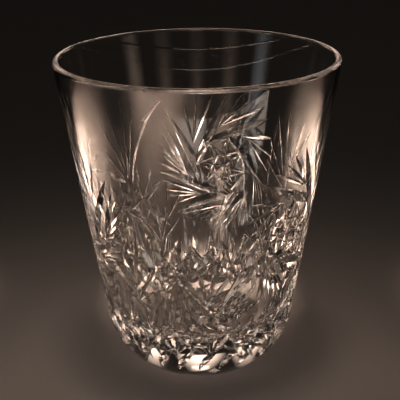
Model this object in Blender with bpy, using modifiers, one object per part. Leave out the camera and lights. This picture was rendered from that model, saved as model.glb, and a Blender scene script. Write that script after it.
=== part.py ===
"""A cut-crystal whiskey tumbler: one piece of heavy clear glass, turned and then cut with V-shaped mitres.

Three pinwheels go round the wall, not quite evenly spaced. Each is an eight-pointed star with eight vanes that
whirl out of it and a fan of fine strokes between each pair of vanes. Tall fans stand in two of the gaps between
them, long mitres run down into the rounded heel, and the underside has a star cut inside the ring that the
tumbler rests on.
"""

import math

import bmesh
import bpy
from mathutils import Vector

MM = 0.001

# Blank: the glass before it is cut
RIM_RADIUS = 41.0 * MM
HEIGHT = 93.0 * MM
RIM_THICKNESS = 2.1 * MM
OUTER_TAPER = 0.1615  # radius lost per unit of height
HEEL_RADIUS = 21.4 * MM
HEEL_CENTRE_Z = 17.8 * MM
INNER_TAPER = 0.196
FLOOR_Z = 13.5 * MM
FLOOR_FILLET = 8.0 * MM
TURN_STEPS = 64
RIM_STEPS = 3
HEEL_STEPS = 7
FILLET_STEPS = 5
MERGE_DISTANCE = 0.01 * MM

# Cuts
SECTOR_TURNS = [math.radians(degrees) for degrees in (0, 112, 240)]
VANES = 8
STAR_Z = 47.6 * MM
STAR_RADIUS = 9.6 * MM
FIRST_STAR_LINE = math.radians(83)
STAR_LINE_REACH = 0.9 * STAR_RADIUS
VANE_DEPTH = 1.25 * MM
STROKE_DEPTH = 0.55 * MM
STAR_LINE_DEPTH = 0.39 * MM
FAN_DEPTH = 0.8 * MM
MITRE_DEPTH = 1.1 * MM
FAN_STROKES = 3
TALL_FAN_TURNS = SECTOR_TURNS[:2]  # the third gap has no tall fan
SIDE_FAN_TURNS = SECTOR_TURNS[1:]  # the first pinwheel has no fan beside its foot
CUT_HALF_ANGLE = math.radians(57)
CUTTER_RISE = 1.2 * MM  # how far a cutter stands out of the surface
STRAIGHT_STATIONS = 4
CURVED_STATIONS = 7
PAST_END = 0.04  # how far a cutter runs past each end, as a share of its length
END_LIFT = 0.05 * MM  # how far its keel is lifted clear of the glass there
TANGENT_STEP = 0.02
SLOPE_STEP = 0.01 * MM

# Where the vanes start on the star's edge, and where they end: (degrees, mm from the star's centre)
VANE_STARTS = [
    (83, 9.8),
    (36, 9.2),
    (-6, 9.2),
    (-54, 9.6),
    (-100, 9.4),
    (-134, 10.2),
    (177, 10.4),
    (131, 10.0),
]
VANE_TIPS = [
    (-15, 18.0),
    (-59, 21.6),
    (-98, 20.6),
    (-138, 21.7),
    (-178, 23.6),
    (-219, 27.1),
    (-272, 24.4),
    (-312, 23.4),
]
CROTCH_REACH = 1.3  # of a fan between two vanes, as a share of the radius where its vane starts
CROTCH_LAG = 30  # degrees

# Underside
BASE_STAR_POINTS = 16
BASE_STAR_RADIUS = 14.0 * MM
BASE_STAR_WAIST = 5.0 * MM
BASE_STAR_DEPTH = 1.6 * MM


def cone_radius(z):
    """Radius of the straight outer wall, extended down past the heel."""
    return RIM_RADIUS - (HEIGHT - z) * OUTER_TAPER


def heel_centre_radius():
    slope = math.hypot(1, OUTER_TAPER)
    return cone_radius(HEEL_CENTRE_Z) - HEEL_RADIUS * slope


HEEL_TOP_Z = HEEL_CENTRE_Z - HEEL_RADIUS * math.sin(math.atan(OUTER_TAPER))


def outer_radius(z):
    """Radius of the uncut outside at a height, on the wall or on the heel."""
    if z >= HEEL_TOP_Z:
        return cone_radius(z)
    drop = HEEL_CENTRE_Z - max(z, 0.0)
    return heel_centre_radius() + math.sqrt(HEEL_RADIUS**2 - drop**2)


def arc(centre, radius, start, end, steps):
    """Points (radius, height) of an arc, both ends included; its angles are in radians."""
    angles = [start + (end - start) * i / steps for i in range(steps + 1)]
    return [(centre[0] + radius * math.cos(a), centre[1] + radius * math.sin(a)) for a in angles]


def blank_profile():
    """Half section of the blank: rim, down the outside, across the underside, up the inside."""
    rim = RIM_THICKNESS / 2
    top = arc((RIM_RADIUS - rim, HEIGHT - rim), rim, math.pi / 2, 0.0, RIM_STEPS)
    lowest = -math.asin(HEEL_CENTRE_Z / HEEL_RADIUS)
    heel_start = -math.atan(OUTER_TAPER)
    heel = arc((heel_centre_radius(), HEEL_CENTRE_Z), HEEL_RADIUS, heel_start, lowest, HEEL_STEPS)
    underside = [(0.0, 0.0)]
    tilt = math.atan(INNER_TAPER)
    inner_top = (RIM_RADIUS - RIM_THICKNESS, HEIGHT - rim)
    fillet_z = FLOOR_Z + FLOOR_FILLET
    wall = inner_top[0] - (inner_top[1] - fillet_z) * INNER_TAPER
    fillet_r = wall - FLOOR_FILLET * math.hypot(1, INNER_TAPER)
    floor = [(0.0, FLOOR_Z)]
    fillet = arc((fillet_r, fillet_z), FLOOR_FILLET, -math.pi / 2, -tilt, FILLET_STEPS)
    lip = arc((RIM_RADIUS - rim, HEIGHT - rim), rim, math.pi, math.pi / 2, RIM_STEPS)
    return top + heel + underside + floor + fillet + lip[:-1]


def turned_blank(name, collection):
    """The half section as a wire, spun into a closed solid by a Screw modifier."""
    profile = blank_profile()
    mesh = bpy.data.meshes.new(name)
    vertices = [(r, 0.0, z) for r, z in profile]
    axis_edge = len(profile)
    edges = [(i, (i + 1) % axis_edge) for i in range(axis_edge)]
    on_axis = [i for i, (r, _) in enumerate(profile) if r == 0.0]
    edges = [edge for edge in edges if set(edge) != set(on_axis)]
    mesh.from_pydata(vertices, edges, [])
    blank = bpy.data.objects.new(name, mesh)
    collection.objects.link(blank)
    screw = blank.modifiers.new("turn", "SCREW")
    screw.steps = TURN_STEPS
    screw.render_steps = TURN_STEPS
    screw.use_merge_vertices = True
    screw.merge_threshold = MERGE_DISTANCE
    screw.use_smooth_shade = True
    return blank


def on_wall(azimuth, z):
    """Point and outward normal of the uncut surface; azimuth 0 is +Y and grows towards +X."""
    radius = outer_radius(z)
    rise = (outer_radius(z + SLOPE_STEP) - outer_radius(z - SLOPE_STEP)) / (2 * SLOPE_STEP)
    outward = Vector((math.sin(azimuth), math.cos(azimuth), 0.0))
    point = outward * radius + Vector((0.0, 0.0, z))
    return point, (outward - Vector((0.0, 0.0, rise))).normalized()


class Groove:
    """One V cut from start to end. Both are (azimuth in radians, height); bend bows it sideways.

    entry is the share of the full depth at the start, peak is where the cut is deepest, stations is how many
    sections the cutter is swept through, and turns are the turns about the axis at which it is cut.
    """

    def __init__(self, start, end, depth, bend=0.0, entry=0.0, peak=0.4, stations=STRAIGHT_STATIONS):
        self.start = start
        self.end = end
        self.depth = depth
        self.bend = bend
        self.entry = entry
        self.peak = peak
        self.stations = stations
        self.turns = SECTOR_TURNS

    def place(self, t, turn):
        radius = outer_radius((self.start[1] + self.end[1]) / 2)
        across = (self.end[0] - self.start[0]) * radius
        up = self.end[1] - self.start[1]
        bow = self.bend * 4 * t * (1 - t)
        azimuth = self.start[0] + (self.end[0] - self.start[0]) * t - bow * up / radius
        z = self.start[1] + up * t + bow * across
        return on_wall(azimuth + turn, z)

    def depth_at(self, t):
        if t < self.peak:
            share = self.entry + (1 - self.entry) * math.sin(math.pi / 2 * t / self.peak)
        else:
            share = math.cos(math.pi / 2 * (t - self.peak) / (1 - self.peak))
        return self.depth * share

    def add_to(self, cutter, turn):
        """Adds the cut's swept V to a bmesh, turned about the axis."""
        rings = []
        length = (self.place(1.0, turn)[0] - self.place(0.0, turn)[0]).length
        for i in range(self.stations):
            t = -PAST_END + (1 + 2 * PAST_END) * i / (self.stations - 1)
            at = min(max(t, 0.0), 1.0)
            point, normal = self.place(at, turn)
            after = self.place(min(at + TANGENT_STEP, 1.0), turn)[0]
            before = self.place(max(at - TANGENT_STEP, 0.0), turn)[0]
            ahead = (after - before).normalized()
            point = point + ahead * (t - at) * length
            depth = self.depth_at(at) - (END_LIFT if t != at else 0.0)
            side = normal.cross(ahead).normalized()
            width = (depth + CUTTER_RISE) * math.tan(CUT_HALF_ANGLE)
            keel = point - normal * depth
            crown = point + normal * CUTTER_RISE
            rings.append([cutter.verts.new(p) for p in (keel, crown + side * width, crown - side * width)])
        for here, there in zip(rings, rings[1:]):
            for i in range(3):
                j = (i + 1) % 3
                cutter.faces.new((here[i], here[j], there[j], there[i]))
        cutter.faces.new(rings[0])
        cutter.faces.new(reversed(rings[-1]))


def polar(radius, angle):
    """A point of a pinwheel: radius from its centre and angle, as (azimuth, height)."""
    z = STAR_Z + radius * math.sin(angle)
    return (radius * math.cos(angle) / outer_radius(z), z)


def at(degrees, height_mm):
    """A point of the pattern: degrees round from the pinwheel's centre, and height in mm."""
    return (math.radians(degrees), height_mm * MM)


TALL_FAN_CROTCH = at(-63.6, 45.2)
TALL_FAN_TIPS = [at(-53.6, 68.2), at(-61.3, 71.5), at(-71.0, 70.6), at(-79.5, 67.0), at(-83.5, 59.0)]
SIDE_FAN_CROTCH = at(-22.0, 38.0)
SIDE_FAN_TIPS = [at(-23.0, 13.0), at(-15.0, 12.5), at(-6.5, 14.0), at(2.5, 17.0)]
LOW_FAN_CROTCH = at(-66.0, 36.0)
LOW_FAN_TIPS = [at(-90.0, 19.0), at(-79.0, 13.5), at(-67.0, 12.0), at(-55.0, 13.0), at(-42.0, 17.0)]


def vane(k):
    """Vane k starts on the star's edge, runs along it and whirls out to its point."""
    start_angle, start_radius = VANE_STARTS[k]
    tip_angle, reach = VANE_TIPS[k]
    start = polar(start_radius * MM, math.radians(start_angle))
    end = polar(reach * MM, math.radians(tip_angle))
    return Groove(start, end, VANE_DEPTH, bend=-0.02, entry=0.5, peak=0.4)


def vane_stroke(k, j):
    """Stroke j of the fan in the crotch of vane k, between its tip and the tip of the vane before it."""
    start_angle, start_radius = VANE_STARTS[k]
    tip_angle, reach = VANE_TIPS[k]
    before_angle, before_reach = VANE_TIPS[k - 1]
    share = (j + 1) / (FAN_STROKES + 1)
    crotch = polar(CROTCH_REACH * start_radius * MM, math.radians(start_angle - CROTCH_LAG))
    angle = tip_angle + (before_angle - tip_angle) % 360 * share
    radius = reach + (before_reach - reach) * share
    return Groove(crotch, polar(radius * MM, math.radians(angle)), STROKE_DEPTH, peak=0.55)


def star_line(k):
    """Diameter k of the eight-pointed star."""
    angle = FIRST_STAR_LINE + k * math.tau / VANES
    start = polar(STAR_LINE_REACH, angle)
    return Groove(start, polar(STAR_LINE_REACH, angle + math.pi), STAR_LINE_DEPTH, peak=0.5)


def fan(crotch, tips, depth):
    return [Groove(crotch, tip, depth, peak=0.6) for tip in tips]


def groups():
    """Lists of cuts. Each list becomes one cutter, so the cuts in it keep clear of each other."""
    vanes = [vane(k) for k in range(VANES)]
    opposite = VANES // 2
    lists = [vanes[k::opposite] for k in range(opposite)]
    for j in range(FAN_STROKES):
        for first in (0, 1):
            lists.append([vane_stroke(k, j) for k in range(first, VANES, 2)])
    lists.extend([star_line(k)] for k in range(VANES // 2))
    curved = Groove(at(-62.0, 43.4), at(-36.7, 69.0), MITRE_DEPTH, bend=0.12, entry=0.3, peak=0.45)
    curved.stations = CURVED_STATIONS
    band = Groove(at(-61.5, 44.5), at(-35.0, 28.5), MITRE_DEPTH, entry=0.2, peak=0.45)
    tall = fan(TALL_FAN_CROTCH, TALL_FAN_TIPS, FAN_DEPTH)
    side = fan(SIDE_FAN_CROTCH, SIDE_FAN_TIPS, MITRE_DEPTH)
    low = fan(LOW_FAN_CROTCH, LOW_FAN_TIPS, MITRE_DEPTH)
    for beside in tall + [curved]:
        beside.turns = TALL_FAN_TURNS
    for beside in side:
        beside.turns = SIDE_FAN_TURNS
    lists.append([curved])
    lists.append([band])
    for j, stroke in enumerate(tall):
        lists.append([stroke, low[j]] + side[j : j + 1])
    return lists


def wall_cutter(name, grooves, collection):
    cutter = bmesh.new()
    for groove in grooves:
        for turn in groove.turns:
            groove.add_to(cutter, turn)
    bmesh.ops.recalc_face_normals(cutter, faces=cutter.faces)
    return as_cutter(name, cutter, collection)


def base_star_cutter(name, collection):
    """A star-shaped pit: an upright cone whose edge goes in and out between points and waist."""
    cutter = bmesh.new()
    sides = 2 * BASE_STAR_POINTS
    rise = BASE_STAR_DEPTH * 2
    bmesh.ops.create_cone(
        cutter, cap_ends=True, segments=sides, radius1=2 * BASE_STAR_RADIUS, radius2=0.0, depth=rise
    )
    for vertex in cutter.verts:
        across = math.hypot(vertex.co.x, vertex.co.y)
        if across < BASE_STAR_RADIUS:
            continue
        step = round(math.atan2(vertex.co.y, vertex.co.x) / math.tau * sides)
        if step % 2:
            vertex.co.xy = vertex.co.xy * (BASE_STAR_WAIST / BASE_STAR_RADIUS)
    return as_cutter(name, cutter, collection)


def as_cutter(name, shape, collection):
    mesh = bpy.data.meshes.new(name)
    shape.to_mesh(mesh)
    shape.free()
    cutter = bpy.data.objects.new(name, mesh)
    cutter.hide_render = True
    cutter.display_type = "WIRE"
    collection.objects.link(cutter)
    return cutter


def cut(blank, cutter):
    modifier = blank.modifiers.new(cutter.name, "BOOLEAN")
    modifier.operation = "DIFFERENCE"
    modifier.object = cutter
    modifier.solver = "EXACT"


def crystal():
    material = bpy.data.materials.new("clear_crystal")
    material.use_nodes = True
    shader = material.node_tree.nodes["Principled BSDF"]
    shader.inputs["Base Color"].default_value = (0.97, 0.96, 0.95, 1.0)
    shader.inputs["Roughness"].default_value = 0.02
    shader.inputs["Metallic"].default_value = 0.0
    shader.inputs["IOR"].default_value = 1.54
    shader.inputs["Transmission Weight"].default_value = 1.0
    return material


def new_collection(name):
    collection = bpy.data.collections.new(name)
    bpy.context.scene.collection.children.link(collection)
    return collection


def main():
    for obj in list(bpy.data.objects):
        bpy.data.objects.remove(obj, do_unlink=True)
    parts = new_collection("whiskey_tumbler")
    cutters = new_collection("cutters")
    cutters.hide_render = True
    tumbler = turned_blank("tumbler", parts)
    for i, grooves in enumerate(groups()):
        cut(tumbler, wall_cutter(f"cut_{i:02d}", grooves, cutters))
    cut(tumbler, base_star_cutter("cut_base_star", cutters))
    tumbler.data.materials.append(crystal())


main()
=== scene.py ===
import math
import random

import bmesh
import bpy
import numpy as np
from mathutils import Matrix, Vector


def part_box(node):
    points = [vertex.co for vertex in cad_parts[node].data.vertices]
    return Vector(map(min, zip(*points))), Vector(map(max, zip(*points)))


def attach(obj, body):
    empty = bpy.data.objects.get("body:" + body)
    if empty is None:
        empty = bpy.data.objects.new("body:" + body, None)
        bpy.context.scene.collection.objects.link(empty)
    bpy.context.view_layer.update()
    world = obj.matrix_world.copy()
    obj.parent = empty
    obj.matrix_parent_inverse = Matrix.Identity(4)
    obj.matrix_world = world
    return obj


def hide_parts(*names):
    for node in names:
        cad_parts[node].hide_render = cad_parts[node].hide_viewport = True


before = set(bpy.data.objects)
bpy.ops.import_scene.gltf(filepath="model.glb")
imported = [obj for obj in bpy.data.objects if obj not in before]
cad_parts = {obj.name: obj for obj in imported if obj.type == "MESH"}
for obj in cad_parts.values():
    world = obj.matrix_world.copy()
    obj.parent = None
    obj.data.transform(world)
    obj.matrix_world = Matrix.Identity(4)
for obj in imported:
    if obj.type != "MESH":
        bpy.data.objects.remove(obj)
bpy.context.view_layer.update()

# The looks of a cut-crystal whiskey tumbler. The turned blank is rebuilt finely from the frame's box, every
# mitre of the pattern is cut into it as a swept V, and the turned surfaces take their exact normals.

MM = 0.001
LOW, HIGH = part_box("tumbler")
TINY = 1e-6  # metres

# Blank: overall size from the frame, the rest as the part is designed
RIM_RADIUS = (HIGH.x - LOW.x) / 2
HEIGHT = HIGH.z - LOW.z
RIM_THICKNESS = 2.1 * MM
OUTER_TAPER = 0.1615  # radius lost per unit of height
HEEL_RADIUS = 21.4 * MM
HEEL_CENTRE_Z = 17.8 * MM
INNER_TAPER = 0.196
FLOOR_Z = 13.5 * MM
FLOOR_FILLET = 8.0 * MM

# How finely the blank is divided, round its axis and along each stretch of its half section
TURN_STEPS = 240
RIM_STEPS = 8
HEEL_STEPS = 26
FILLET_STEPS = 14
WALL_STEPS = 14
RADIAL_STEPS = 5

# Sectors: each pinwheel with the cuts beside it, turned about the axis. Sector 0 is across from the camera.
SECTOR_TURNS = [math.radians(degrees) for degrees in (0, 112, 240)]
ALL_SECTORS = (0, 1, 2)
TALL_FAN_SECTORS = (0, 1)
BACK_SECTOR = (0,)
FRONT_SECTORS = (1, 2)
CLEAR_SECTORS = (0, 2)  # where cuts beside the pinwheel stay out of the view of the one in sector 0

# Cuts
VANES = 8
STAR_Z = 47.6 * MM
STAR_RADIUS = 9.6 * MM
STAR_LINE_REACH = 0.93 * STAR_RADIUS
VANE_DEPTH = 1.35 * MM
STROKE_DEPTH = 0.38 * MM
LONG_STROKE_DEPTH = STROKE_DEPTH * 1.2
STAR_LINE_DEPTH = 0.28 * MM
STAR_DIAMETER_DEPTH = 1.3 * STAR_LINE_DEPTH
FAN_DEPTH = 0.72 * MM
CURVED_DEPTH = 1.2 * MM
BAND_DEPTH = 1.2 * MM
MITRE_DEPTH = 0.9 * MM
BLADE_DEPTH = 1.1 * MM
SPRAY_DEPTH = 0.6 * MM
FAN_PEAK = 0.6  # where a fan's stroke is deepest, as a share of its length
SPRAY_ROUNDING = 0.15  # how much shorter a spray's outer strokes are, as a share
HEEL_BLADES = 9  # in each sector

# Where the vanes start on the star's edge and where they end: (degrees, mm from the star's centre)
VANE_STARTS = [
    (83, 9.8), (36, 9.2), (-6, 9.2), (-54, 9.6),
    (-100, 9.4), (-134, 10.2), (177, 10.4), (131, 10.0),
]
VANE_TIPS = [
    (-15, 18.0), (-59, 21.6), (-98, 20.6), (-138, 21.7),
    (-178, 23.6), (-219, 27.1), (-272, 24.4), (-312, 23.4),
]

# The fine strokes between a vane and the one before it
FAN_STROKES = [3, 4, 5, 5, 4, 5, 3, 3]
CROTCH_REACH = 1.3  # their common start, as a share of the radius where the vane starts
CROTCH_LAG = 30  # and how many degrees behind the vane's start it lies
STROKE_REACH = 0.97  # their tips, as a share of the vanes' reach

# Cutters
CUT_HALF_ANGLE = math.radians(49)
CUTTER_RISE = 0.8 * MM  # how far a cutter stands out of the glass
STATION_SPACING = 1.6 * MM
FEWEST_STATIONS = 5
CUT_CLEARANCE = 0.25 * MM  # between the cutters of one Boolean
PAST_END = 0.3 * MM  # how far a cutter runs past each end of its cut
SHALLOW_END = 0.05 * MM  # ends shallower than this are lifted out of the glass there
END_LIFT = 0.03 * MM
BLUNT_END = 0.5  # deeper ends keep this share of their depth there
TANGENT_STEP = 0.01  # as a share of a cut's length
SLOPE_STEP = 0.01 * MM

# The small misses of a hand at the wheel
HAND_SEED = 7
HAND_WOBBLE = 0.35 * MM
HAND_DEPTH = (0.93, 1.07)

# Underside
BASE_STAR_POINTS = 16
BASE_STAR_RADIUS = 14.0 * MM
BASE_STAR_WAIST = 5.0 * MM
BASE_STAR_DEPTH = 1.6 * MM

# Faces: the index of each kind's material, and the limits used to give the faces their normals
WALL_FACE = 0
CUT_FACE = 1
FACE_MATERIALS = ("crystal_wall", "crystal_cut")
SHARP_ANGLE = math.radians(14)
LIP_TOLERANCE = 0.05 * MM
FACES_DOWN = -0.9  # upward part of the normal of a face on the underside
NEARLY_SAME = 0.9  # least dot product of a face's normal and the blank's own

# Glass: roughness runs between two values, and the ripple is the strength of the bump
CRYSTAL_TINT = (0.985, 0.967, 0.955, 1.0)
CRYSTAL_IOR = 1.545
WALL_ROUGHNESS = (0.0, 0.02)
WALL_RIPPLE = 0.05
CUT_ROUGHNESS = (0.03, 0.09)
CUT_RIPPLE = 0.1
RIPPLE_SCALE = 60.0
RIPPLE_DETAIL = 4.0
RIPPLE_HEIGHT = 0.05 * MM

# Floor and surroundings
FLOOR_REACH = 3.0  # from the middle to each edge
FLOOR_GAP = 0.0002  # below the tumbler
FLOOR_COLOUR = (0.74, 0.71, 0.69, 1.0)
FLOOR_ROUGHNESS = 0.7
FLOOR_SPECULAR = 0.2
WORLD_COLOUR = (0.010, 0.009, 0.008, 1.0)

# Lamps. Degrees are counted from the camera, and distances, heights and sizes are in metres.
WARM = (1.0, 0.79, 0.66)
NEUTRAL = (1.0, 0.92, 0.86)
COOL = (0.88, 0.92, 1.0)

# Pools of light on the floor: name, degrees, lamp's distance and height, pool's distance, lamp's width,
# power in watts, spread in degrees
FRONT_POOLS = (
    ("pool", 0, 0.05, 0.60, 0.03, 0.14, 0.0028, 20),
    ("front_pool_left", -30, 0.22, 0.50, 0.17, 0.05, 0.045, 18),
)
BACK_POOLS = (
    ("base_pool", 180, 0.30, 0.50, 0.040, 0.03, 0.0050, 5),
    ("left_pool", -98, 0.16, 0.50, 0.145, 0.06, 0.026, 11),
    ("right_pool", 98, 0.16, 0.50, 0.145, 0.06, 0.026, 11),
    ("left_edge_pool", -116, 0.16, 0.50, 0.158, 0.04, 0.016, 9),
    ("right_edge_pool", 116, 0.16, 0.50, 0.158, 0.04, 0.016, 9),
)

# Low cards in front, which light the facets: (degrees, colour)
LOW_CARDS = ((-62, NEUTRAL), (-28, WARM), (6, NEUTRAL))
LOW_CARD_DISTANCE = 0.30
LOW_CARD_HEIGHT = 0.028
LOW_CARD_SIZE = (0.17, 0.05)
LOW_CARD_LEVEL = 2.4
LOW_CARD_GAIN = 4.7  # how much brighter its spread makes it
LOW_CARD_SPREAD = 90

# Taller panels in front: (degrees, level, colour)
FRONT_PANELS = (
    (-60, 0.6, COOL),
    (-30, 0.4, WARM),
    (0, 0.3, WARM),
    (30, 0.4, WARM),
    (60, 0.6, WARM),
)
FRONT_PANEL_DISTANCE = 0.50
FRONT_PANEL_HEIGHT = 0.10
FRONT_PANEL_SIZE = (0.275, 0.16)
FRONT_PANEL_GAIN = 31  # its level times its area, over this, is its power
FRONT_PANEL_SPREAD = 20

# Panels behind, turned down to the tumbler
BACK_PANELS = (-150, 180, 150)
BACK_PANEL_DISTANCE = 0.45
BACK_PANEL_HEIGHT = 0.22
BACK_PANEL_AIM = 0.06
BACK_PANEL_SIZE = (0.24, 0.14)
BACK_PANEL_POWER = 0.0020
BACK_PANEL_SPREAD = 26

# Camera: the view of the reference, in the object's frame
CAMERA_DISTANCE = 280.8 * MM
CAMERA_HEIGHT = 152.96 * MM
CAMERA_AZIMUTH = math.radians(16)
CAMERA_PITCH = math.radians(20.342)
CAMERA_YAW = math.radians(0.087)
CAMERA_ROLL = math.radians(-0.621)
CAMERA_LENS = 90.0
CAMERA_SENSOR = 36.0
CAMERA_CLIP = 0.01

# Tone and light paths
EXPOSURE = 1.0
GLASS_BOUNCES = 28
GLOSSY_BOUNCES = 16
DIFFUSE_BOUNCES = 3
INDIRECT_CLAMP = 6.0


# ---------------------------------------------------------------- blank

def cone_radius(z):
    """Radius of the straight outer wall, extended down past the heel."""
    return RIM_RADIUS - (HEIGHT - z) * OUTER_TAPER


OUTER_TILT = math.atan(OUTER_TAPER)
INNER_TILT = math.atan(INNER_TAPER)
LIP_RADIUS = RIM_THICKNESS / 2
LIP_R = RIM_RADIUS - LIP_RADIUS
LIP_Z = HEIGHT - LIP_RADIUS
HEEL_R = cone_radius(HEEL_CENTRE_Z) - HEEL_RADIUS * math.hypot(1, OUTER_TAPER)
HEEL_TOP_Z = HEEL_CENTRE_Z - HEEL_RADIUS * math.sin(OUTER_TILT)
FILLET_Z = FLOOR_Z + FLOOR_FILLET
INNER_WALL_R = RIM_RADIUS - RIM_THICKNESS - (LIP_Z - FILLET_Z) * INNER_TAPER  # at the fillet's height
FILLET_R = INNER_WALL_R - FLOOR_FILLET * math.hypot(1, INNER_TAPER)


def outer_radius(z):
    """Radius of the uncut outside at a height, on the wall or on the heel."""
    if z >= HEEL_TOP_Z:
        return cone_radius(z)
    drop = HEEL_CENTRE_Z - max(z, 0.0)
    return HEEL_R + math.sqrt(HEEL_RADIUS**2 - drop**2)


def arc(centre, radius, start, end, steps):
    """(radius, height) along an arc, both ends included."""
    angles = [start + (end - start) * i / steps for i in range(steps + 1)]
    return [(centre[0] + radius * math.cos(a), centre[1] + radius * math.sin(a)) for a in angles]


def straight(first, last, steps):
    """Evenly spaced points between two profile points, both left out."""
    shares = [i / steps for i in range(1, steps)]
    return [tuple(a + (b - a) * share for a, b in zip(first, last)) for share in shares]


def blank_profile():
    """Closed half section as (radius, height): rim, outside, underside, inside."""
    top = arc((LIP_R, LIP_Z), LIP_RADIUS, math.pi / 2, -OUTER_TILT, RIM_STEPS)
    lowest = -math.asin(HEEL_CENTRE_Z / HEEL_RADIUS)
    heel = arc((HEEL_R, HEEL_CENTRE_Z), HEEL_RADIUS, -OUTER_TILT, lowest, HEEL_STEPS)
    fillet = arc((FILLET_R, FILLET_Z), FLOOR_FILLET, -math.pi / 2, -INNER_TILT, FILLET_STEPS)
    lip = arc((LIP_R, LIP_Z), LIP_RADIUS, math.pi - INNER_TILT, math.pi / 2, RIM_STEPS)
    foot = (heel[-1][0], 0.0)
    middle = (0.0, 0.0)
    floor_middle = (0.0, FLOOR_Z)
    floor_edge = (FILLET_R, FLOOR_Z)
    outside = top + straight(top[-1], heel[0], WALL_STEPS) + heel
    under = straight(foot, middle, RADIAL_STEPS) + [middle]
    inside = [floor_middle] + straight(floor_middle, floor_edge, RADIAL_STEPS) + fillet
    inside += straight(fillet[-1], lip[0], WALL_STEPS) + lip[:-1]
    return outside + under + inside


def turned_blank():
    """The half section turned about the axis, as a closed mesh."""
    shape = bmesh.new()
    columns = []
    section = blank_profile()
    centre = {i: shape.verts.new((0.0, 0.0, z)) for i, (r, z) in enumerate(section) if r == 0.0}
    for turn in range(TURN_STEPS):
        azimuth = math.tau * turn / TURN_STEPS
        column = []
        for i, (r, z) in enumerate(section):
            spot = (r * math.sin(azimuth), r * math.cos(azimuth), z)
            column.append(centre[i] if i in centre else shape.verts.new(spot))
        columns.append(column)
    for here, there in zip(columns, columns[1:] + columns[:1]):
        for i in range(len(section)):
            j = (i + 1) % len(section)
            corners = []
            for vertex in (here[i], there[i], there[j], here[j]):
                if vertex not in corners:
                    corners.append(vertex)
            if len(corners) > 2:
                shape.faces.new(corners)
    bmesh.ops.recalc_face_normals(shape, faces=shape.faces)
    return shape


def on_wall(azimuth, z):
    """Point and outward normal of the uncut outside; azimuth 0 is +Y and grows towards +X."""
    radius = outer_radius(z)
    rise = (outer_radius(z + SLOPE_STEP) - outer_radius(z - SLOPE_STEP)) / (2 * SLOPE_STEP)
    outward = Vector((math.sin(azimuth), math.cos(azimuth), 0.0))
    return outward * radius + Vector((0.0, 0.0, z)), (outward - Vector((0.0, 0.0, rise))).normalized()


# ---------------------------------------------------------------- mitres

class Groove:
    """One V cut from start to end, both (azimuth, height). bend bows it sideways as a share of its length.

    entry is the share of the full depth at the start, leave the share at the end, peak where it is deepest.
    """

    def __init__(self, start, end, depth, bend=0.0, entry=0.0, leave=0.0, peak=0.4):
        self.start = start
        self.end = end
        self.depth = depth
        self.bend = bend
        self.entry = entry
        self.leave = leave
        self.peak = peak
        middle = outer_radius((start[1] + end[1]) / 2)
        self.length = math.hypot((end[0] - start[0]) * middle, end[1] - start[1])
        self.stations = max(FEWEST_STATIONS, round(self.length / STATION_SPACING))
        self.sectors = ALL_SECTORS

    def flat(self, t):
        """(azimuth, height) at a share of the length."""
        radius = outer_radius((self.start[1] + self.end[1]) / 2)
        across = (self.end[0] - self.start[0]) * radius
        up = self.end[1] - self.start[1]
        bow = self.bend * 4 * t * (1 - t)
        azimuth = self.start[0] + (self.end[0] - self.start[0]) * t - bow * up / radius
        return azimuth, self.start[1] + up * t + bow * across

    def depth_at(self, t):
        if t < self.peak:
            low, share = self.entry, t / self.peak
        else:
            low, share = self.leave, (1 - t) / (1 - self.peak)
        return self.depth * (low + (1 - low) * math.sin(math.pi / 2 * share))

    def half_width(self, t):
        return self.depth_at(t) * math.tan(CUT_HALF_ANGLE)

    def turned(self, sectors):
        """The same cut, made only in these sectors."""
        self.sectors = sectors
        return self

    def add_to(self, cutter, turn):
        """Adds the cut's swept V to a bmesh, turned about the axis."""
        rings = []
        past_end = PAST_END / self.length
        shares = [i / (self.stations - 1) for i in range(self.stations)]
        shares = [-past_end] + shares + [1 + past_end]
        for t in shares:
            near = min(max(t, 0.0), 1.0)
            azimuth, z = self.flat(near)
            point, normal = on_wall(azimuth + turn, z)
            before = self.flat(max(near - TANGENT_STEP, 0.0))
            after = self.flat(min(near + TANGENT_STEP, 1.0))
            ahead = on_wall(after[0] + turn, after[1])[0] - on_wall(before[0] + turn, before[1])[0]
            ahead.normalize()
            point = point + ahead * (t - near) * self.length
            depth = self.depth_at(near)
            if t != near:
                depth = -END_LIFT if depth < SHALLOW_END else BLUNT_END * depth
            side = normal.cross(ahead).normalized()
            width = (depth + CUTTER_RISE) * math.tan(CUT_HALF_ANGLE)
            keel = point - normal * depth
            crown = point + normal * CUTTER_RISE
            rings.append([cutter.verts.new(p) for p in (keel, crown + side * width, crown - side * width)])
        for here, there in zip(rings, rings[1:]):
            for i in range(3):
                j = (i + 1) % 3
                cutter.faces.new((here[i], here[j], there[j], there[i]))
        cutter.faces.new(rings[0])
        cutter.faces.new(reversed(rings[-1]))


def polar(radius, angle):
    """A point of a pinwheel: radius from its centre and angle, as (azimuth, height)."""
    z = STAR_Z + radius * math.sin(angle)
    return (radius * math.cos(angle) / outer_radius(z), z)


def at(degrees, height_mm):
    """A point of the pattern: degrees round from the pinwheel's centre, and height in mm."""
    return (math.radians(degrees), height_mm * MM)


def vanes():
    cuts = []
    for k in range(VANES):
        start_angle, start_radius = VANE_STARTS[k]
        tip_angle, reach = VANE_TIPS[k]
        start = polar(start_radius * MM, math.radians(start_angle))
        end = polar(reach * MM, math.radians(tip_angle))
        cuts.append(Groove(start, end, VANE_DEPTH, bend=-0.02, entry=0.6, peak=0.4))
    return cuts


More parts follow.
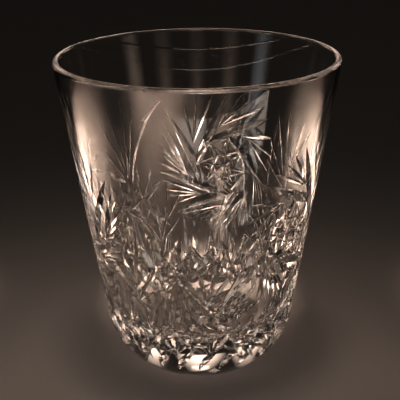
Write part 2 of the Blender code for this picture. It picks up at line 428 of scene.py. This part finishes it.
def vane_strokes():
    """The fans in the crotches: between the tip of each vane and the tip of the vane before it."""
    cuts = []
    for k in range(VANES):
        start_angle, start_radius = VANE_STARTS[k]
        tip_angle, reach = VANE_TIPS[k]
        before_angle, before_reach = VANE_TIPS[k - 1]
        gap = (before_angle - tip_angle) % 360
        crotch = polar(CROTCH_REACH * start_radius * MM, math.radians(start_angle - CROTCH_LAG))
        for j in range(FAN_STROKES[k]):
            share = (j + 1) / (FAN_STROKES[k] + 1)
            angle = tip_angle + gap * share
            radius = reach + (before_reach - reach) * share
            tip = polar(radius * STROKE_REACH * MM, math.radians(angle))
            cuts.append(Groove(crotch, tip, STROKE_DEPTH, peak=FAN_PEAK))
    return cuts


def star_lines():
    """An eight-pointed star: four diameters and the eight chords that join every third point."""
    cuts = []
    for k in range(VANES):
        angle = math.radians(VANE_STARTS[0][0]) + k * math.tau / VANES
        start = polar(STAR_LINE_REACH, angle)
        third = polar(STAR_LINE_REACH, angle + 3 * math.tau / VANES)
        cuts.append(Groove(start, third, STAR_LINE_DEPTH, entry=0.3, leave=0.3, peak=0.5))
        if k < VANES // 2:
            across = polar(STAR_LINE_REACH, angle + math.pi)
            cuts.append(Groove(start, across, STAR_DIAMETER_DEPTH, entry=0.3, leave=0.3, peak=0.5))
    return cuts


def fan(crotch, tips, depth, bend=0.0):
    return [Groove(crotch, tip, depth, bend, peak=FAN_PEAK) for tip in tips]


def tall_fan():
    """The fan and the curved vane that stand beside a pinwheel."""
    tips = [
        at(-53.6, 68.2), at(-61.3, 71.5), at(-71.0, 70.6),
        at(-79.5, 67.0), at(-83.5, 59.0), at(-84.0, 52.0),
    ]
    cuts = fan(at(-63.6, 45.2), tips, FAN_DEPTH)
    cuts.append(Groove(at(-62.0, 43.4), at(-36.7, 69.0), CURVED_DEPTH, bend=0.10, entry=0.5, peak=0.5))
    return [cut.turned(TALL_FAN_SECTORS) for cut in cuts]


def field():
    """What lies between the pinwheels: the band, a long stroke and the lower mitres."""
    band = Groove(at(-61.5, 44.0), at(-35.0, 28.5), BAND_DEPTH, bend=-0.03, entry=0.2, peak=0.45)
    long_stroke = Groove(at(32.8, 63.6), at(34.6, 35.0), LONG_STROKE_DEPTH, bend=-0.04, peak=0.5)
    cuts = [band, long_stroke.turned(BACK_SECTOR)]
    down = [at(-22.0, 14.0), at(-13.0, 14.5), at(-4.0, 16.0), at(5.0, 17.5), at(12.0, 19.5), at(17.0, 22.0)]
    cuts += [cut.turned(FRONT_SECTORS) for cut in fan(at(-28.0, 37.5), down, BLADE_DEPTH, bend=0.03)]
    low = [
        at(-92.0, 20.0), at(-83.0, 13.5), at(-73.0, 10.5),
        at(-62.0, 10.0), at(-51.0, 11.5), at(-43.0, 16.0),
    ]
    cuts += fan(at(-66.0, 37.0), low, BLADE_DEPTH, bend=0.05)
    feather = [at(26.0, 45.0), at(24.5, 38.5), at(25.0, 33.0), at(25.5, 28.5), at(27.0, 24.0), at(31.0, 19.0)]
    cuts += fan(at(47.0, 24.0), feather, MITRE_DEPTH, bend=0.05)
    under_band = [at(-52.0, 9.5), at(-44.0, 8.0), at(-36.0, 8.0), at(-29.0, 9.5)]
    cuts += fan(at(-38.0, 27.0), under_band, MITRE_DEPTH)
    for start, end in ((at(-104, 36), at(-50, 17)), (at(-96, 27), at(-40, 10)), (at(-86, 43), at(-52, 29))):
        cuts.append(Groove(start, end, MITRE_DEPTH, bend=0.06, peak=0.5))
    cuts += fan(at(33.0, 17.5), [at(9.0, 10.0), at(16.0, 7.5), at(24.0, 6.8)], MITRE_DEPTH)
    return cuts


def spray(degrees, height, length, count, spread, lean=0.0, depth=SPRAY_DEPTH):
    """A small fan of count strokes that opens upwards from a point; angles in degrees from the vertical."""
    cuts = []
    crotch = at(degrees, height)
    for k in range(count):
        offset = 2 * k / (count - 1) - 1
        angle = math.radians(lean + spread * offset)
        reach = length * MM * (1.0 - SPRAY_ROUNDING * abs(offset))
        rise = reach * math.cos(angle)
        tip = (crotch[0] + reach * math.sin(angle) / outer_radius(crotch[1] + rise), crotch[1] + rise)
        cuts.append(Groove(crotch, tip, depth, peak=FAN_PEAK))
    return cuts


def lower_sprays():
    """The fans that close the ground below and between the pinwheels."""
    cuts = []
    for k in range(6):
        cuts += spray(20 * k + 6, 11.5, 13.5, 5, 52, lean=12)
    for degrees in (36, 56, 76):
        cuts += spray(degrees, 23.5, 12.5, 5, 58, lean=-8)
    crossing = []
    for degrees, lean in ((-97, 14), (-84, -6), (-71, 8), (-57, -10)):
        crossing += spray(degrees, 36.0, 15.5, 6, 62, lean=lean, depth=MITRE_DEPTH)
    crossing += spray(-80, 28.0, 17.0, 5, 45, lean=-10)
    cuts += [cut.turned(CLEAR_SECTORS) for cut in crossing]
    for degrees in (-60, -42):
        cuts += spray(degrees, 28.0, 17.0, 5, 45, lean=-10)
    return cuts


def heel_blades():
    """Short leaning lenses that close the pattern on the rounded heel."""
    cuts = []
    for k in range(HEEL_BLADES):
        degrees = 120 * k / HEEL_BLADES
        cuts.append(Groove(at(degrees, 14.0), at(degrees + 13.0, 4.6), BLADE_DEPTH, bend=0.08, peak=0.5))
    return cuts


def wobbled(cuts):
    """The same cuts with the small misses of a hand at the wheel."""
    draw = random.Random(HAND_SEED)
    for cut in cuts:
        cut.depth = cut.depth * draw.uniform(*HAND_DEPTH)
        shift = HAND_WOBBLE * draw.uniform(-1, 1) / outer_radius(cut.end[1])
        cut.end = (cut.end[0] + shift, cut.end[1] + HAND_WOBBLE * draw.uniform(-1, 1))
    return cuts


def footprint(cut, turn):
    """Rows of x, y, z and half width along a cut."""
    rows = []
    for i in range(cut.stations + 1):
        share = i / cut.stations
        azimuth, z = cut.flat(share)
        rows.append((*on_wall(azimuth + turn, z)[0], cut.half_width(share)))
    return np.array(rows)


def apart(first, second):
    """Whether two footprints, and so their cutters, stay clear of each other."""
    gap = np.linalg.norm(first[:, None, :3] - second[None, :, :3], axis=2)
    crown = 2 * CUTTER_RISE * math.tan(CUT_HALF_ANGLE)
    reach = first[:, None, 3] + second[None, :, 3] + crown + CUT_CLEARANCE + STATION_SPACING / 2
    return bool((gap > reach).all())


def batches(cuts):
    """The cuts sorted into lists whose cutters don't meet, so that each list is one Boolean."""
    lists = []
    for cut in cuts:
        prints = [footprint(cut, SECTOR_TURNS[sector]) for sector in cut.sectors]
        for members in lists:
            if all(apart(first, second) for first in prints for _, second in members):
                break
        else:
            members = []
            lists.append(members)
        members.extend((cut, rows) for rows in prints)
    return [list(dict.fromkeys(cut for cut, _ in members)) for members in lists]


# ---------------------------------------------------------------- meshes

def mesh_object(name, shape, face_kind):
    """A smooth object from a bmesh, which is used up."""
    mesh = bpy.data.meshes.new(name)
    for face in shape.faces:
        face.material_index = face_kind
        face.smooth = True
    shape.to_mesh(mesh)
    shape.free()
    made = bpy.data.objects.new(name, mesh)
    bpy.context.scene.collection.objects.link(made)
    return made


def wall_cutter(cuts):
    cutter = bmesh.new()
    for cut in cuts:
        for sector in cut.sectors:
            cut.add_to(cutter, SECTOR_TURNS[sector])
    bmesh.ops.recalc_face_normals(cutter, faces=cutter.faces)
    return mesh_object("cutter", cutter, CUT_FACE)


def base_star_cutter():
    """A star-shaped pit: an upright cone whose edge goes in and out between points and waist.

    Half of the cone hangs below the glass, so it is twice as wide and as deep as the pit.
    """
    cutter = bmesh.new()
    sides = 2 * BASE_STAR_POINTS
    bmesh.ops.create_cone(
        cutter,
        cap_ends=True,
        segments=sides,
        radius1=2 * BASE_STAR_RADIUS,
        radius2=0.0,
        depth=2 * BASE_STAR_DEPTH,
    )
    for vertex in cutter.verts:
        step = round(math.atan2(vertex.co.y, vertex.co.x) / math.tau * sides)
        if vertex.co.xy.length > BASE_STAR_RADIUS and step % 2:
            vertex.co.xy = vertex.co.xy * (BASE_STAR_WAIST / BASE_STAR_RADIUS)
    return mesh_object("cutter", cutter, CUT_FACE)


def carve(blank, cutters):
    """Subtracts the cutters one after the other and leaves the result as the blank's own mesh."""
    for name in FACE_MATERIALS:
        blank.data.materials.append(bpy.data.materials.new(name))
    for cutter in cutters:
        for material in blank.data.materials:
            cutter.data.materials.append(material)
        modifier = blank.modifiers.new("cut", "BOOLEAN")
        modifier.operation = "DIFFERENCE"
        modifier.solver = "MANIFOLD"
        modifier.object = cutter
    bpy.context.view_layer.update()
    graph = bpy.context.evaluated_depsgraph_get()
    carved = bpy.data.meshes.new_from_object(blank.evaluated_get(graph), depsgraph=graph)
    blank.modifiers.clear()
    blank.data = carved
    for cutter in cutters:
        bpy.data.objects.remove(cutter, do_unlink=True)


def section_normal(r, z, facing_out):
    """Exact normal (radial, up) of the blank at a profile point."""
    on_lip = z > LIP_Z - LIP_RADIUS * math.sin(INNER_TILT)
    if on_lip and abs(math.hypot(r - LIP_R, z - LIP_Z) - LIP_RADIUS) < LIP_TOLERANCE:
        return (r - LIP_R) / LIP_RADIUS, (z - LIP_Z) / LIP_RADIUS
    if facing_out:
        if z < TINY:
            return 0.0, -1.0
        if z < HEEL_TOP_Z:
            return (r - HEEL_R) / HEEL_RADIUS, (z - HEEL_CENTRE_Z) / HEEL_RADIUS
        return math.cos(OUTER_TILT), -math.sin(OUTER_TILT)
    if r < FILLET_R:
        return 0.0, 1.0
    if z < FILLET_Z - FLOOR_FILLET * math.sin(INNER_TILT):
        return (FILLET_R - r) / FLOOR_FILLET, (FILLET_Z - z) / FLOOR_FILLET
    return -math.cos(INNER_TILT), math.sin(INNER_TILT)


def exact_normals(piece):
    """Turned surfaces take the blank's own normals, and cut facets keep theirs."""
    mesh = piece.data
    mesh.set_sharp_from_angle(angle=SHARP_ANGLE)
    normals = np.empty(len(mesh.loops) * 3)
    mesh.corner_normals.foreach_get("vector", normals)
    normals = normals.reshape(-1, 3)
    for face in mesh.polygons:
        if face.material_index == CUT_FACE:
            continue
        outward = face.normal.x * face.center.x + face.normal.y * face.center.y > 0
        facing_out = outward or face.normal.z < FACES_DOWN
        for corner in face.loop_indices:
            spot = mesh.vertices[mesh.loops[corner].vertex_index].co
            r = spot.xy.length
            across, up = section_normal(r, spot.z, facing_out)
            normal = Vector((0, 0, up))
            if r > TINY:
                normal = Vector((spot.x / r * across, spot.y / r * across, up))
            normal.normalize()
            if normal.dot(face.normal) > NEARLY_SAME:
                normals[corner] = normal
    mesh.normals_split_custom_set(normals.tolist())


def build_tumbler():
    blank = mesh_object("cut_tumbler", turned_blank(), WALL_FACE)
    pattern = vanes() + vane_strokes() + star_lines() + tall_fan() + field() + lower_sprays() + heel_blades()
    cutters = [wall_cutter(members) for members in batches(wobbled(pattern))]
    carve(blank, cutters + [base_star_cutter()])
    exact_normals(blank)
    return blank


# ---------------------------------------------------------------- materials

def crystal(material, roughness, ripple):
    """Clear lead crystal: a Principled glass whose roughness and surface ripple vary a little."""
    material.use_nodes = True
    tree = material.node_tree
    shader = tree.nodes["Principled BSDF"]
    shader.inputs["Base Color"].default_value = CRYSTAL_TINT
    shader.inputs["Metallic"].default_value = 0.0
    shader.inputs["IOR"].default_value = CRYSTAL_IOR
    shader.inputs["Transmission Weight"].default_value = 1.0
    place = tree.nodes.new("ShaderNodeTexCoord")
    noise = tree.nodes.new("ShaderNodeTexNoise")
    noise.inputs["Scale"].default_value = RIPPLE_SCALE
    noise.inputs["Detail"].default_value = RIPPLE_DETAIL
    tree.links.new(place.outputs["Object"], noise.inputs["Vector"])
    spread = tree.nodes.new("ShaderNodeMapRange")
    spread.inputs["To Min"].default_value = roughness[0]
    spread.inputs["To Max"].default_value = roughness[1]
    tree.links.new(noise.outputs["Fac"], spread.inputs["Value"])
    tree.links.new(spread.outputs["Result"], shader.inputs["Roughness"])
    bump = tree.nodes.new("ShaderNodeBump")
    bump.inputs["Strength"].default_value = ripple
    bump.inputs["Distance"].default_value = RIPPLE_HEIGHT
    tree.links.new(noise.outputs["Fac"], bump.inputs["Height"])
    tree.links.new(bump.outputs["Normal"], shader.inputs["Normal"])


def floor_material():
    material = bpy.data.materials.new("pale_floor")
    material.use_nodes = True
    shader = material.node_tree.nodes["Principled BSDF"]
    shader.inputs["Base Color"].default_value = FLOOR_COLOUR
    shader.inputs["Roughness"].default_value = FLOOR_ROUGHNESS
    shader.inputs["Specular IOR Level"].default_value = FLOOR_SPECULAR
    return material


# ---------------------------------------------------------------- stage

def around(azimuth, distance, height):
    """A place seen from the camera's side: azimuth 0 is towards the camera, 90 degrees to its right."""
    turn = CAMERA_AZIMUTH + math.radians(azimuth)
    return Vector((math.sin(turn) * distance, -math.cos(turn) * distance, height))


def softbox(name, place, target, size, power, colour, spread):
    """A rectangular lamp that the camera doesn't see."""
    light = bpy.data.lights.new(name, "AREA")
    light.shape = "RECTANGLE"
    light.size, light.size_y = size
    light.energy = power
    light.color = colour
    light.spread = math.radians(spread)
    lamp = bpy.data.objects.new(name, light)
    lamp.location = place
    lamp.rotation_euler = (Vector(target) - place).to_track_quat("-Z", "Y").to_euler()
    lamp.visible_camera = False
    bpy.context.scene.collection.objects.link(lamp)


def floor_pool(name, azimuth, lamp_distance, lamp_height, pool_distance, width, power, spread):
    """A small warm lamp up high that lights a round patch of the floor."""
    place = around(azimuth, lamp_distance, lamp_height)
    softbox(name, place, around(azimuth, pool_distance, 0), (width, width), power, WARM, spread)


def build_lights():
    for pool in FRONT_POOLS:
        floor_pool(*pool)
    for azimuth, colour in LOW_CARDS:
        place = around(azimuth, LOW_CARD_DISTANCE, LOW_CARD_HEIGHT)
        target = around(azimuth, 0, LOW_CARD_HEIGHT)
        power = LOW_CARD_LEVEL * math.pi * LOW_CARD_SIZE[0] * LOW_CARD_SIZE[1] / LOW_CARD_GAIN
        softbox("low_card", place, target, LOW_CARD_SIZE, power, colour, LOW_CARD_SPREAD)
    for pool in BACK_POOLS:
        floor_pool(*pool)
    for azimuth, level, colour in FRONT_PANELS:
        place = around(azimuth, FRONT_PANEL_DISTANCE, FRONT_PANEL_HEIGHT)
        target = around(azimuth, 0, FRONT_PANEL_HEIGHT)
        power = level * FRONT_PANEL_SIZE[0] * FRONT_PANEL_SIZE[1] / FRONT_PANEL_GAIN
        softbox("front_panel", place, target, FRONT_PANEL_SIZE, power, colour, FRONT_PANEL_SPREAD)
    for azimuth in BACK_PANELS:
        place = around(azimuth, BACK_PANEL_DISTANCE, BACK_PANEL_HEIGHT)
        target = around(0, 0, BACK_PANEL_AIM)
        softbox("back_panel", place, target, BACK_PANEL_SIZE, BACK_PANEL_POWER, WARM, BACK_PANEL_SPREAD)


def build_stage():
    shape = bmesh.new()
    bmesh.ops.create_grid(shape, x_segments=1, y_segments=1, size=FLOOR_REACH)
    floor = mesh_object("floor", shape, WALL_FACE)
    floor.location.z = LOW.z - FLOOR_GAP
    floor.data.materials.append(floor_material())
    build_lights()
    world = bpy.data.worlds.new("studio")
    world.use_nodes = True
    world.node_tree.nodes["Background"].inputs["Color"].default_value = WORLD_COLOUR
    bpy.context.scene.world = world


def build_camera():
    data = bpy.data.cameras.new("camera")
    data.lens = CAMERA_LENS
    data.sensor_width = CAMERA_SENSOR
    data.clip_start = CAMERA_CLIP
    camera = bpy.data.objects.new("camera", data)
    turn = Matrix.Rotation(CAMERA_AZIMUTH - CAMERA_YAW, 4, "Z")
    tilt = Matrix.Rotation(math.pi / 2 - CAMERA_PITCH, 4, "X")
    roll = Matrix.Rotation(CAMERA_ROLL, 4, "Z")
    camera.matrix_world = Matrix.Translation(around(0, CAMERA_DISTANCE, CAMERA_HEIGHT)) @ turn @ tilt @ roll
    bpy.context.scene.collection.objects.link(camera)
    bpy.context.scene.camera = camera


def tone_and_light_paths():
    view = bpy.context.scene.view_settings
    view.view_transform = "Standard"
    view.look = "High Contrast"
    view.exposure = EXPOSURE
    cycles = bpy.context.scene.cycles
    cycles.max_bounces = GLASS_BOUNCES
    cycles.transmission_bounces = GLASS_BOUNCES
    cycles.glossy_bounces = GLOSSY_BOUNCES
    cycles.diffuse_bounces = DIFFUSE_BOUNCES
    cycles.sample_clamp_indirect = INDIRECT_CLAMP


tumbler = build_tumbler()
crystal(tumbler.data.materials[WALL_FACE], WALL_ROUGHNESS, WALL_RIPPLE)
crystal(tumbler.data.materials[CUT_FACE], CUT_ROUGHNESS, CUT_RIPPLE)
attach(tumbler, "root")
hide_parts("tumbler")
build_stage()
build_camera()
tone_and_light_paths()
